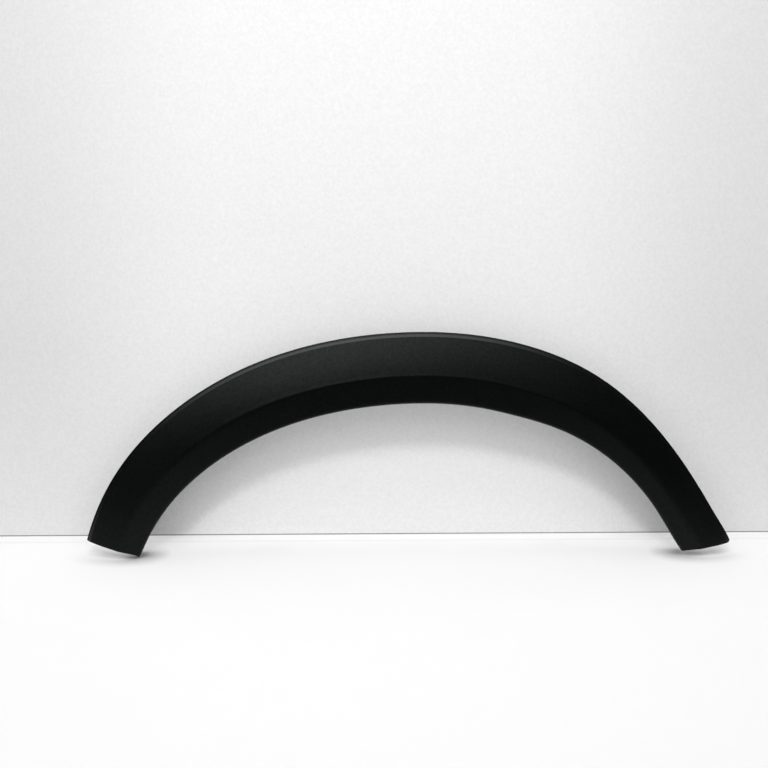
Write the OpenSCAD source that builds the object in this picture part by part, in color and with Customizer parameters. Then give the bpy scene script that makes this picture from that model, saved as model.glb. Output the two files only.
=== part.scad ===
// Wheel arch trim: one moulded flare with its push-in retaining clips.
// Every radius and angle of the arch is taken about the wheel centre, in the plane of the fender.
// The model's origin is the crown clip, on the plane that the fender's skin touches.
// +X runs along the car, +Z is up, the visible face looks along -Y and the clips point along +Y.
// A section is drawn as [inset, stand-off]: inset runs from the outer edge towards the wheel,
// and stand-off runs from the fender towards the viewer.

/* [Arch outline] */
// Radius of the outer edge at the crown
crown_r = 426; // [400:0.5:460]
// How far the outer edge swells past the crown radius at the front shoulder
front_swell = 11; // [0:0.5:20]
// How far the outer edge swells past the crown radius at the rear shoulder
rear_swell = 6; // [0:0.5:20]
// How far the outer edge falls from the front shoulder to the front end
front_fall = 9.5; // [0:0.5:20]
// How far the outer edge falls from the rear shoulder to the rear leg
rear_fall = 17; // [0:0.5:30]
// How far the outer edge flicks out again at the rear end
rear_flick = 2.5; // [0:0.5:6]
// How far the two ends curve inboard with the side of the car, at one crown radius from the middle
plan_bow = 12; // [0:1:24]

/* [Arch angles] */
// Angle of the rear end cut at the outer edge
rear_end_a = 24.4; // [20:0.1:28]
// Angle where the rear leg is drawn in furthest
rear_leg_a = 31; // [30:1:38]
// Angle of the rear shoulder
rear_shoulder_a = 64; // [55:1:72]
// Angle of the crown
crown_a = 94; // [85:1:100]
// Angle of the front shoulder
front_shoulder_a = 138; // [125:0.5:142]
// Angle of the front end cut at the outer edge
front_end_a = 155.3; // [148:0.1:160]
// How far the rear cut has turned upwards by the inner edge
rear_cut_lean = 3.1; // [0:0.1:5]
// How far the front cut has turned upwards by the inner edge
front_cut_lean = 2.1; // [0:0.1:5]

/* [Band] */
// Width of the band at the crown, from its outer to its inner edge
crown_w = 82; // [70:1:100]
// Width of the band at the front end
front_w = 69.5; // [55:0.5:80]
// Width of the band along the rear leg
rear_w = 58.5; // [50:0.5:75]
// Radius of the outer corner at the rear end
rear_corner_r = 4; // [1:0.5:8]

/* [Section] */
// Wall thickness of the moulding
wall = 2.5; // [2:0.1:3]
// Height of the outer edge where it meets the fender
edge_h = 2.8; // [2:0.1:5]
// Width of the bevel that runs round the outer edge
bevel_w = 5.2; // [3:0.1:7]
// Rise of that bevel
bevel_rise = 4.2; // [2:0.1:6]
// Stand-off of the crest from the fender at the crown
crest_d = 25; // [20:0.5:34]
// Stand-off of the inner edge from the fender at the crown
inner_d = 18; // [14:0.5:24]
// Radius of the crest over the crown, where it is crisp
crest_r = 6; // [4:0.5:10]
// Radius of the crest at the two ends, where it has softened
crest_end_r = 22; // [12:1:24]
// Radius of the inner edge
inner_r = 4.5; // [3.5:0.5:7]
// How far the outer face is crowned between the bevel and the crest
face_crown = 1.2; // [0:0.1:2]
// How far the return flange reaches inboard of the fender's skin
flange_reach = 12; // [6:1:20]
// Draft of the return flange
flange_draft = 10; // [4:1:14]

/* [Ribs] */
// Thickness of a rib
rib_t = 1.6; // [1:0.1:2]
// Clearance between the ribs and the fender
rib_gap = 1.5; // [1:0.1:3]
// Spacing of the two ribs beside each clip tower, along the arch
rib_pitch = 52; // [40:1:60]

/* [Clip towers] */
// Length of a tower along the arch
tower_l = 24; // [20:1:30]
// Width of a tower across the band
tower_w = 22; // [18:1:26]
// Thickness of a tower's side walls
tower_wall = 1.8; // [1.2:0.1:2.5]
// Thickness of the slotted plate that holds the clip's head
plate_t = 2; // [1.5:0.1:2.5]
// Stand-off of that plate from the fender
plate_d = 2.6; // [2.2:0.1:3.5]

/* [Clips] */
// Radius of the clip's head
head_r = 7.5; // [6:0.5:8.5]
// Thickness of the clip's head
head_t = 1.6; // [1:0.1:2]
// Radius of the clip's neck, which slides in the slot
neck_r = 3.2; // [2.5:0.1:4]
// Radius of the washer that seals on the fender
washer_r = 9; // [7:0.5:10]
// Thickness of the washer
washer_t = 1.2; // [0.8:0.1:1.6]
// Radius of the shank that goes through the fender
shank_r = 4; // [3:0.1:5]
// Length of the shank's round part, from the washer
shank_l = 9; // [6:0.5:12]
// Length of the barbed nose past the round part
nose_l = 8; // [5:0.5:12]
// Depth of each barb on the nose
barb_h = 0.7; // [0.3:0.1:1]
// Running clearance between a clip and its tower
clip_gap = 0.25; // [0.15:0.05:0.5]

/* [Screw tabs] */
// Width of a screw tab along the arch
tab_w = 20; // [16:1:26]
// How far a tab reaches past the return flange to its hole
tab_reach = 9; // [7:0.5:14]
// Thickness of a tab
tab_t = 3; // [2:0.1:4]
// Radius of a tab's hole
tab_hole_r = 2.75; // [2:0.05:3.5]

/* [Tongues] */
// Width of the tongue at the front end
front_tongue_w = 18; // [12:1:24]
// Width of the tongue at the rear end
rear_tongue_w = 8; // [6:1:14]
// How far each tongue reaches past its end cut
tongue_l = 3; // [2:0.5:8]
// Thickness of each tongue
tongue_t = 2.5; // [2:0.1:3]
// Stand-off of each tongue from the fender
tongue_d = 8; // [5:0.5:9]

/* [Hidden] */
$fn = 48;

// Barbs on a clip's nose
barbs = 3;

// Stations along the arch, and points on each rounded edge of the section
stations = 88;
round_steps = 4;
face_steps = 4;

// The crest's place across the band, and a clip's, as shares of its width
crest_share = 0.59;
clip_inset_share = 0.36;

// Stand-off at the two ends, and how much of the arch it takes to reach it, as shares
end_depth_share = 0.76;
fade_share = 0.32;

// How much of the arch the crest takes to turn from soft to crisp, as a share
soft_share = 0.4;

// Where the clips and the screw tabs sit, as shares of the way from the top to the rear end,
// below zero, and to the front end, above it
clip_place_shares = [-0.86, -0.6, -0.3, 0, 0.3, 0.6, 0.86];
tab_place_shares = [-0.75, -0.4, 0, 0.4, 0.76];

// Powers of the curves by which the band narrows to the front, and the rear corner's cut fades
taper_power = 2.2;
fade_power = 10;

// Angles by which the rear narrowing starts past the rear leg, and stops past the rear shoulder
narrow_turn_a = 2;
wide_turn_a = 8;
rear_narrow_a = rear_leg_a + narrow_turn_a;
rear_wide_a = rear_shoulder_a + wide_turn_a;

// Overrun of every cut, and how far a joined feature sinks into what carries it
overrun = 1;
sink = wall / 2;

// Angle straight up from the wheel centre, in degrees
top_a = 90;

// Angle that the whole arch spans, in degrees
arch_a = front_end_a - rear_end_a;

// Ease from 0 to 1, level at both ends
function eased(t) = t * t * (3 - 2 * t);

// Value at an angle between knots of [angle, value], level at every knot
function level_at(knots, a, i = 0) =
    a <= knots[0][0] ? knots[0][1]
    : i >= len(knots) - 1 ? knots[i][1]
    : a > knots[i + 1][0] ? level_at(knots, a, i + 1)
    : let (t = (a - knots[i][0]) / (knots[i + 1][0] - knots[i][0]))
        knots[i][1] + (knots[i + 1][1] - knots[i][1]) * eased(t);

outer_knots = [
    [rear_end_a, crown_r + rear_swell - rear_fall + rear_flick],
    [rear_leg_a, crown_r + rear_swell - rear_fall],
    [rear_shoulder_a, crown_r + rear_swell],
    [crown_a, crown_r],
    [front_shoulder_a, crown_r + front_swell],
];

// Radius of the outer edge
function outer_r(a) =
    level_at(outer_knots, a)
    - (a > front_shoulder_a
        ? front_fall * pow((a - front_shoulder_a) / (front_end_a - front_shoulder_a), 2)
        : 0);

// Width of the band
function band_w(a) =
    a > crown_a
        ? crown_w - (crown_w - front_w) * pow((a - crown_a) / (front_end_a - crown_a), taper_power)
        : level_at([[rear_narrow_a, rear_w], [rear_wide_a, crown_w]], a);

// How far a change that starts at the nearer end has come at a place along the arch
function from_end(u, span) = eased(max(0, min(1, min(u, 1 - u) / span)));

// Share of the full stand-off that the section has at a place along the arch
function depth_share(u) = end_depth_share + (1 - end_depth_share) * from_end(u, fade_share);

// Radius of the crest at a place along the arch
function crest_round(u) = crest_end_r + (crest_r - crest_end_r) * from_end(u, soft_share);

function place_of(a) = (a - rear_end_a) / arch_a;
function angle_of(u) = rear_end_a + arch_a * u;
function place_angle(share) = top_a + share * (share > 0 ? front_end_a - top_a : top_a - rear_end_a);

// Turn that spans a length along the outer edge
function turn_of(length) = length / crown_r * 180 / PI;

// How far the arch has curved inboard at a distance from the middle
function bow(x) = plan_bow * pow(x / crown_r, 2);

function unit(v) = v / norm(v);

// Arc of radius r that rounds the corner b of the line a, b, c
function rounded(a, b, c, r) =
    let (
        back = unit(a - b),
        ahead = unit(c - b),
        half = acos(back * ahead) / 2,
        middle = b + unit(back + ahead) * r / sin(half),
        first = b + back * r / tan(half) - middle,
        last = b + ahead * r / tan(half) - middle,
        start = atan2(first.y, first.x),
        sweep = atan2(first.x * last.y - first.y * last.x, first * last)
    )
    [for (i = [0:round_steps])
        middle + r * [cos(start + sweep * i / round_steps), sin(start + sweep * i / round_steps)]];

// Points of the crowned face from a to b, without its two ends
function crowned(a, b, rise) =
    let (side = unit([a.y - b.y, b.x - a.x]))
    [for (i = [1:face_steps - 1])
        let (t = i / face_steps)
            a + (b - a) * t + side * rise * (4 * t * (1 - t))];

// Corners of the section at an angle: bevel, crest, inner edge and the flange's end
function bevel_at() = [bevel_w, edge_h + bevel_rise];
function crest_at(a) = [band_w(a) * crest_share, crest_d * depth_share(place_of(a))];
function inner_at(a) = [band_w(a), inner_d * depth_share(place_of(a))];
function flange_at(a) =
    let (top = inner_at(a))
        [top.x - (top.y + flange_reach) * tan(flange_draft), -flange_reach];

// Outer skin of the section, from the edge on the fender round to the flange's end
function skin(a) =
    let (
        crest = rounded(bevel_at(), crest_at(a), inner_at(a), crest_round(place_of(a))),
        turn = rounded(crest_at(a), inner_at(a), flange_at(a), inner_r)
    )
    concat(
        [[0, 0], [0, edge_h], bevel_at()],
        crowned(bevel_at(), crest[0], face_crown),
        crest,
        turn,
        [flange_at(a)]
    );

// The same line moved into the wall by a depth, with mitred corners
function sunk(line, depth) =
    [for (i = [0:len(line) - 1])
        let (
            before = unit(line[max(i, 1)] - line[max(i, 1) - 1]),
            after = unit(line[min(i + 1, len(line) - 1)] - line[min(i, len(line) - 2)]),
            side = [before.y + after.y, -before.x - after.x]
        )
            line[i] + side * depth / (1 + before * after)];

// How much further round the rear end starts at an inset, to round its outer corner
function corner_cut(inset) =
    inset < rear_corner_r
        ? rear_corner_r - sqrt(pow(rear_corner_r, 2) - pow(rear_corner_r - inset, 2))
        : 0;

// Angles of the two end cuts at an inset
function rear_cut_a(inset) = rear_end_a + rear_cut_lean * inset / rear_w;
function front_cut_a(inset) = front_end_a - front_cut_lean * inset / front_w;

// Point of the moulding at a place along the arch, from a section point
function arch_point(u, p) =
    let (
        a = rear_cut_a(p.x) * (1 - u) + front_cut_a(p.x) * u
            + turn_of(corner_cut(p.x)) * pow(1 - u, fade_power),
        r = outer_r(a) - p.x,
        x = r * cos(a)
    )
    [x, bow(x) - p.y, r * sin(a)];

// The moulded skin: a ring of outer and inner points at each station, swept along the arch
module shell() {
    rings = [for (i = [0:stations])
        let (
            u = i / stations,
            outside = skin(angle_of(u)),
            inside = sunk(outside, wall),
            last = len(inside) - 1
        )
        [for (p = concat(outside, [for (k = [0:last]) inside[last - k]])) arch_point(u, p)]];
    ring = len(rings[0]);
    half = ring / 2;
    sides = [for (i = [0:stations - 1], k = [0:ring - 1])
        let (
            next = (k + 1) % ring,
            low = i * ring,
            high = low + ring
        )
        each [[low + k, high + next, high + k], [low + k, low + next, high + next]]];
    ends = [for (k = [0:half - 2])
        let (
            far = ring - 1 - k,
            top = stations * ring
        )
        each [
            [k + 1, k, far],
            [k + 1, far, far - 1],
            [top + k, top + k + 1, top + far - 1],
            [top + k, top + far - 1, top + far],
        ]];
    polyhedron([for (r = rings, p = r) p], concat(sides, ends), convexity = 8);
}

// Draws children in a section's own plane: x is the inset, y the stand-off, z runs along the arch
module on_section(a, inset = 0) {
    translate([0, bow((outer_r(a) - inset) * cos(a)), 0])
        rotate([0, -a, 0])
            rotate([0, 0, 180])
                translate([-outer_r(a), 0, 0])
                    children();
}

// Stand-off that an inset gains over the outer edge, where the arch has curved less inboard
function bow_gain(a, inset) = bow(outer_r(a) * cos(a)) - bow((outer_r(a) - inset) * cos(a));

// Angle of the section that the sweep lays at an angle on the inner edge, as the end cuts lean
function drawn_a(a) =
    let (u = place_of(a))
        a - (1 - u) * rear_cut_lean * band_w(a) / rear_w + u * front_cut_lean * band_w(a) / front_w;

// A full-depth rib, from the bevel to the return flange
module rib(a) {
    drawn = drawn_a(a);
    middle = sunk(skin(drawn), sink);
    last = len(middle) - 1;
    foot = flange_at(drawn).x - sink;
    lean = (rib_gap + flange_reach) * tan(flange_draft);
    outline = concat(
        [for (i = [2:last - 1]) middle[i]],
        [[foot + lean, rib_gap], [middle[2].x, rib_gap]]
    );
    on_section(a)
        translate([0, 0, -rib_t / 2])
            linear_extrude(rib_t)
                polygon([for (p = outline) [p.x, p.y + bow_gain(a, p.x)]]);
}

function clip_inset(a) = band_w(a) * clip_inset_share;

// Stand-off of the crowned outer face at an inset
function face_d(a, inset) =
    let (t = (inset - bevel_w) / (crest_at(a).x - bevel_w))
        bevel_at().y + (crest_at(a).y - bevel_at().y) * t + face_crown * (4 * t * (1 - t));

// A tower under the outer face: three walls on a plate, slotted from the wheel's side for a clip
module tower(a) {
    mid = clip_inset(a);
    near = mid - tower_w / 2;
    far = mid + tower_w / 2;
    slot_r = neck_r + clip_gap;
    on_section(a, mid)
        difference() {
            translate([0, 0, -tower_l / 2])
                linear_extrude(tower_l)
                    polygon([
                        [near, plate_d],
                        [far, plate_d],
                        [far, face_d(a, far) - sink],
                        [near, face_d(a, near) - sink],
                    ]);
            translate([near + tower_wall, plate_d + plate_t, tower_wall - tower_l / 2])
                cube([tower_w, crest_d, tower_l - 2 * tower_wall]);
            translate([mid, plate_d - overrun, 0])
                rotate([-90, 0, 0])
                    cylinder(r = slot_r, h = plate_t + 2 * overrun);
            translate([mid, plate_d - overrun, -slot_r])
                cube([tower_w, plate_t + 2 * overrun, 2 * slot_r]);
        }
}

// A drilled tab on the return flange, for a screw into the wheel housing's liner
module screw_tab(a) {
    face = flange_at(a).x;
    hole_d = -flange_reach - tab_reach;
    on_section(a, face)
        difference() {
            union() {
                translate([face - tab_t, hole_d, -tab_w / 2])
                    cube([tab_t, tab_reach + wall, tab_w]);
                translate([face - tab_t, hole_d, 0])
                    rotate([0, 90, 0])
                        cylinder(r = tab_w / 2, h = tab_t);
            }
            translate([face - tab_t - overrun, hole_d, 0])
                rotate([0, 90, 0])
                    cylinder(r = tab_hole_r, h = tab_t + 2 * overrun);
        }
}

// A flat tongue that reaches past an end cut, beside the inner edge; way is 1 at the front
module tongue(a, width, way) {
    far = band_w(a) - sink - (inner_at(a).y - tongue_d) * tan(flange_draft);
    root = 2 * tongue_l;
    on_section(a, far)
        translate([far - width, tongue_d, way > 0 ? -root : -tongue_l])
            cube([width, tongue_t, root + tongue_l]);
}

module arch_moulding() {
    color([0.045, 0.047, 0.049])
        translate([0, 0, -origin_r()])
            union() {
                shell();
                for (share = clip_place_shares) {
                    tower(place_angle(share));
                    for (way = [-1, 1])
                        rib(place_angle(share) + way * turn_of(rib_pitch / 2));
                }
                for (i = [1:len(clip_place_shares) - 1])
                    rib((place_angle(clip_place_shares[i - 1]) + place_angle(clip_place_shares[i])) / 2);
                for (share = tab_place_shares)
                    screw_tab(place_angle(share));
                tongue(rear_cut_a(rear_w), rear_tongue_w, -1);
                tongue(front_cut_a(front_w), front_tongue_w, 1);
            }
}

// One clip, standing on the fender's plane with its shank pointing down
module clip() {
    washer_base = plate_d - clip_gap - washer_t;
    head_base = plate_d + plate_t + clip_gap;
    barb_l = nose_l / (barbs + 1);
    translate([0, 0, head_base])
        cylinder(r = head_r, h = head_t);
    translate([0, 0, washer_base + washer_t / 2])
        cylinder(r = neck_r, h = head_base + head_t / 2 - washer_base - washer_t / 2);
    translate([0, 0, washer_base])
        cylinder(r = washer_r, h = washer_t);
    translate([0, 0, washer_base - shank_l])
        cylinder(r = shank_r, h = shank_l + washer_t / 2);
    translate([0, 0, washer_base - shank_l - nose_l])
        rotate_extrude()
            polygon([
                [0, 0],
                [shank_r - barbs * barb_h, 0],
                for (i = [1:barbs]) each [
                    [shank_r - (barbs - i) * barb_h, i * barb_l],
                    [shank_r - (barbs + 1 - i) * barb_h, i * barb_l],
                ],
                [shank_r - barb_h, nose_l + shank_l / 2],
                [0, nose_l + shank_l / 2],
            ]);
}

// Distance of the origin above the wheel centre: the crown clip, straight above it
function origin_r() = outer_r(top_a) - clip_inset(top_a);

module retaining_clips() {
    color([0.93, 0.92, 0.86])
        translate([0, 0, -origin_r()])
            for (share = clip_place_shares)
                let (a = place_angle(share))
                    on_section(a, clip_inset(a))
                        translate([clip_inset(a), 0, 0])
                            rotate([-90, 0, 0])
                                clip();
}

arch_moulding();
retaining_clips();
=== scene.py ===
import math
import bpy
import bmesh
from mathutils import Matrix, Vector


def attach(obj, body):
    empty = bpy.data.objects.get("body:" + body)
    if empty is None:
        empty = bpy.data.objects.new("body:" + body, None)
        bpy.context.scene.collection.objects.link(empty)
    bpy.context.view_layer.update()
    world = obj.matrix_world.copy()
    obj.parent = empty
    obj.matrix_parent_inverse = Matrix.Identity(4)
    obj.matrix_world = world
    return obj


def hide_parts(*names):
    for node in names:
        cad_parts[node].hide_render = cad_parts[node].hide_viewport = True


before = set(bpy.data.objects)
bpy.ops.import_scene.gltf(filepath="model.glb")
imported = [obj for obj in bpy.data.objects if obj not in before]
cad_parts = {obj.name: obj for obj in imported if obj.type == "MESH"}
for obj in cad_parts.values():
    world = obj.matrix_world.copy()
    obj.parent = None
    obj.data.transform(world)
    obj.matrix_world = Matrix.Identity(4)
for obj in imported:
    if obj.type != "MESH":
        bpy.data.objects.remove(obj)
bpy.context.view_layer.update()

print("frame loaded")

# Everything is in metres. Angles are in degrees about the wheel centre, 0 towards +X and 90 straight up.
# A point of the band is (inset, rise): inset from the outer edge towards the wheel, rise off the body side.

archOutline = {
    "crownRadius": 0.426, "frontSwell": 0.011, "rearSwell": 0.006, "frontFall": 0.0095,
    "rearFall": 0.017, "rearFlick": 0.0025, "planBow": 0.012,
    "rearEnd": 24.4, "rearLeg": 31.0, "rearNarrow": 33.0, "rearShoulder": 64.0, "rearWide": 72.0,
    "crown": 94.0, "frontShoulder": 138.0, "frontEnd": 155.3,
    "crownWidth": 0.082, "frontWidth": 0.0695, "rearWidth": 0.0585, "taper": 2.2,
    "endDepth": 0.76, "fade": 0.32, "softening": 0.4,
    "originRadius": 0.3967716,  # the crown clip's distance above the wheel centre
}

bandSection = {
    "wall": 0.0025, "edgeHeight": 0.0028, "bevelWidth": 0.0052, "bevelRise": 0.0042,
    "crestShare": 0.59, "crest": 0.025, "inner": 0.018, "faceCrown": 0.0012,
    "flangeReach": 0.012, "flangeDraft": 10.0,
    "crestRadius": 0.006, "crestEndRadius": 0.022, "innerRadius": 0.0045,
    "bevelRound": 0.0008, "edgeRound": 0.0006,
    "rimRound": 0.0004, "arcSteps": 8, "smallSteps": 3,
}

bandSweep = {
    "stations": 240, "rearLean": 3.1, "frontLean": 2.1, "rearCorner": 0.004, "cornerFade": 10.0,
}


# Node helpers

def words(key):
    return "".join(" " + c if c.isupper() else c for c in key).title()


def newTree(name, inputs, outputs, kind="GeometryNodeTree"):
    tree = bpy.data.node_groups.new(name, kind)
    for label, socketKind, value in inputs:
        socket = tree.interface.new_socket(label, in_out="INPUT", socket_type="NodeSocket" + socketKind)
        if value is not None:
            socket.default_value = value
    for label, socketKind in outputs:
        tree.interface.new_socket(label, in_out="OUTPUT", socket_type="NodeSocket" + socketKind)
    return tree


# A number in a tree, which ordinary sums can use
class Value:
    def __init__(self, tools, socket):
        self.tools, self.socket = tools, socket

    def __add__(self, other):
        return self.tools.calc("ADD", self, other)

    def __radd__(self, other):
        return self.tools.calc("ADD", other, self)

    def __sub__(self, other):
        return self.tools.calc("SUBTRACT", self, other)

    def __rsub__(self, other):
        return self.tools.calc("SUBTRACT", other, self)

    def __mul__(self, other):
        return self.tools.calc("MULTIPLY", self, other)

    def __truediv__(self, other):
        return self.tools.calc("DIVIDE", self, other)

    def __rtruediv__(self, other):
        return self.tools.calc("DIVIDE", other, self)


# A node whose outputs are read as values
class Made:
    def __init__(self, tools, node):
        self.tools, self.inputs, self.outputs = tools, node.inputs, node.outputs

    def __getitem__(self, key):
        return Value(self.tools, self.outputs[key])


class Tools:
    def __init__(self, tree):
        self.tree = tree

    def feed(self, socket, value):
        if isinstance(value, Value):
            self.tree.links.new(value.socket, socket)
        else:
            socket.default_value = value

    def node(self, kind, feeds=None, **settings):
        made = self.tree.nodes.new(kind)
        for key, value in settings.items():
            setattr(made, key, value)
        for key, value in (feeds or {}).items():
            self.feed(made.inputs[key], value)
        return Made(self, made)

    # A node group, which takes the sizes that it isn't given from a source's outputs of the same names
    def group(self, inner, feeds, source=None):
        kind = "ShaderNodeGroup" if inner.bl_idname == "ShaderNodeTree" else "GeometryNodeGroup"
        made = self.node(kind, feeds, node_tree=inner)
        for socket in source.outputs if source else []:
            if socket.name and socket.name in made.inputs and not made.inputs[socket.name].is_linked:
                self.tree.links.new(socket, made.inputs[socket.name])
        return made

    def calc(self, operation, *terms):
        return self.node("ShaderNodeMath", dict(enumerate(terms)), operation=operation)[0]

    def vector(self, operation, first, second):
        last = "Scale" if operation == "SCALE" else 1
        made = self.node("ShaderNodeVectorMath", {0: first, last: second}, operation=operation)
        return made["Value" if operation == "DOT_PRODUCT" else 0]

    def span(self, value, start, stop, low=0.0, high=1.0, kind="LINEAR"):
        ends = {"Value": value, "From Min": start, "From Max": stop, "To Min": low, "To Max": high}
        return self.node("ShaderNodeMapRange", ends, interpolation_type=kind)["Result"]

    def noise(self, place, scale, detail):
        return self.node("ShaderNodeTexNoise", {"Vector": place, "Scale": scale, "Detail": detail})[0]

    # Between two colours
    def blend(self, share, low, high):
        return self.node("ShaderNodeMix", {0: share, 6: low, 7: high}, data_type="RGBA")[2]

    # Between two numbers
    def between(self, share, low, high):
        return self.node("ShaderNodeMix", {0: share, 2: low, 3: high}, data_type="FLOAT")[0]

    def split(self, value):
        return self.node("ShaderNodeSeparateXYZ", {"Vector": value})

    def position(self):
        return self.node("GeometryNodeInputPosition")[0]

    def attribute(self, name, kind="FLOAT"):
        return self.node("GeometryNodeInputNamedAttribute", {"Name": name}, data_type=kind)[0]

    def sample(self, geometry, value, index):
        return self.node("GeometryNodeSampleIndex", {"Geometry": geometry, "Value": value, "Index": index},
                         data_type="FLOAT_VECTOR", domain="POINT")[0]

    def meshOf(self, obj):
        return self.node("GeometryNodeObjectInfo", {"Object": obj})["Geometry"]

    # The blank at every place, as one mesh
    def scatter(self, places, blank):
        made = self.node("GeometryNodeInstanceOnPoints", {"Points": places, "Instance": self.meshOf(blank)})
        return self.node("GeometryNodeRealizeInstances", {"Geometry": made[0]})[0]

    # How every placing tree ends
    def dress(self, geometry, position, material):
        moved = self.node("GeometryNodeSetPosition", {"Geometry": geometry, "Position": position})
        whole = self.node("GeometryNodeRealizeInstances", {"Geometry": moved[0]})
        dressed = self.node("GeometryNodeSetMaterial", {"Geometry": whole[0], "Material": material})
        self.node("NodeGroupOutput", {"Geometry": dressed[0]})
def addTree(obj, tree, values):
    modifier = obj.modifiers.new(tree.name, "NODES")
    modifier.node_group = tree
    for item in tree.interface.items_tree:
        if item.item_type == "SOCKET" and item.in_out == "INPUT" and item.name in values:
            modifier[item.identifier] = values[item.name]
    return modifier


def numberInputs(values):
    return [(name, "Float", value) for name, value in values.items()]


outlineValues = {words(key): value for key, value in archOutline.items()}
outlineInputs = numberInputs(outlineValues)


# Radius, width and depth of the band at an angle
def makeBandShape():
    tree = newTree("bandShape", [("Angle", "Float", 90.0)] + outlineInputs,
                   [("Outer Radius", "Float"), ("Band Width", "Float"), ("Depth", "Float"),
                    ("Softness", "Float")])
    t = Tools(tree)
    given = t.node("NodeGroupInput")
    angle = given["Angle"]

    # Ends given by name are the tree's inputs
    def ease(start, stop, low, high, value=angle):
        ends = [given[end] if isinstance(end, str) else end for end in (start, stop, low, high)]
        return t.span(value, *ends, kind="SMOOTHSTEP")

    radius = given["Crown Radius"] + ease("Rear End", "Rear Leg", "Rear Flick", 0.0)
    radius = radius - ease("Rear Leg", "Rear Shoulder", "Rear Fall", 0.0)
    radius = radius + ease("Rear Shoulder", "Crown", "Rear Swell", 0.0)
    radius = radius + ease("Crown", "Front Shoulder", 0.0, "Front Swell")
    past = t.calc("MAXIMUM", angle - given["Front Shoulder"], 0.0)
    past = past / (given["Front End"] - given["Front Shoulder"])
    radius = radius - given["Front Fall"] * (past * past)

    ahead = t.calc("MAXIMUM", angle - given["Crown"], 0.0) / (given["Front End"] - given["Crown"])
    narrowing = (given["Crown Width"] - given["Front Width"]) * t.calc("POWER", ahead, given["Taper"])
    width = ease("Rear Narrow", "Rear Wide", "Rear Width", "Crown Width") - narrowing

    place = (angle - given["Rear End"]) / (given["Front End"] - given["Rear End"])
    fromEnd = t.calc("MINIMUM", place, 1.0 - place)
    t.node("NodeGroupOutput", {"Outer Radius": radius, "Band Width": width,
                               "Depth": ease(0.0, "Fade", "End Depth", 1.0, fromEnd),
                               "Softness": ease(0.0, "Softening", 1.0, 0.0, fromEnd)})
    return tree


bandShape = makeBandShape()


# Place in space of a point of the band, along being its step round the arch from the angle
def makeBandPoint():
    tree = newTree("bandPoint",
                   [("Angle", "Float", 90.0), ("Inset", "Float", 0.0), ("Rise", "Float", 0.0),
                    ("Along", "Float", 0.0), ("Bow Inset", "Float", 0.0)] + outlineInputs,
                   [("Position", "Vector")])
    t = Tools(tree)
    given = t.node("NodeGroupInput")
    outer = t.group(bandShape, {}, given)["Outer Radius"]
    turn = t.calc("RADIANS", given["Angle"])
    cosine, sine = t.calc("COSINE", turn), t.calc("SINE", turn)
    radius = outer - given["Inset"]
    bowAt = (outer - given["Bow Inset"]) * cosine / given["Crown Radius"]
    place = t.node("ShaderNodeCombineXYZ", {
        "X": radius * cosine - given["Along"] * sine,
        "Y": given["Plan Bow"] * (bowAt * bowAt) - given["Rise"],
        "Z": radius * sine + given["Along"] * cosine - given["Origin Radius"]})
    t.node("NodeGroupOutput", {"Position": place[0]})
    return tree


bandPoint = makeBandPoint()


# Point of a section line at an angle: the full section, moved towards its narrow, shallow and soft forms
def makeSectionPoint():
    tree = newTree("sectionPoint",
                   [("Section", "Geometry", None), ("Index", "Int", 0), ("Angle", "Float", 90.0),
                    ("Shrink", "Float", 0.0)] + outlineInputs,
                   [("Inset", "Float"), ("Rise", "Float")])
    t = Tools(tree)
    given = t.node("NodeGroupInput")
    shape = t.group(bandShape, {}, given)
    shares = {
        "narrow": (given["Crown Width"] - shape["Band Width"]) / (given["Crown Width"] - given["Rear Width"]),
        "shallow": (1.0 - shape["Depth"]) / (1.0 - given["End Depth"]),
        "soft": shape["Softness"],
        "inward": given["Shrink"],
    }
    point = t.sample(given["Section"], t.position(), given["Index"])
    for form, share in shares.items():
        step = t.sample(given["Section"], t.attribute(form, "FLOAT_VECTOR"), given["Index"])
        point = t.vector("ADD", point, t.vector("SCALE", step, share))
    point = t.split(point)
    t.node("NodeGroupOutput", {"Inset": point["X"], "Rise": point["Y"]})
    return tree


sectionPoint = makeSectionPoint()
# Section lines

def unit(v):
    length = math.hypot(*v)
    return (v[0] / length, v[1] / length)


def sectionCorners(width, depth):
    s = bandSection
    inner = s["inner"] * depth
    lean = math.tan(math.radians(s["flangeDraft"]))
    return [(0.0, 0.0), (0.0, s["edgeHeight"]), (s["bevelWidth"], s["edgeHeight"] + s["bevelRise"]),
            (width * s["crestShare"], s["crest"] * depth), (width, inner),
            (width - (inner + s["flangeReach"]) * lean, -s["flangeReach"])]


# The same corners moved into the wall
def sunkCorners(line, depth):
    last = len(line) - 1
    moved = []
    for i, point in enumerate(line):
        a, b = line[max(i, 1) - 1], line[max(i, 1)]
        c, d = line[min(i, last - 1)], line[min(i + 1, last)]
        before, after = unit((b[0] - a[0], b[1] - a[1])), unit((d[0] - c[0], d[1] - c[1]))
        k = depth / (1 + before[0] * after[0] + before[1] * after[1])
        moved.append((point[0] + (before[1] + after[1]) * k, point[1] - (before[0] + after[0]) * k))
    return moved


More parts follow.
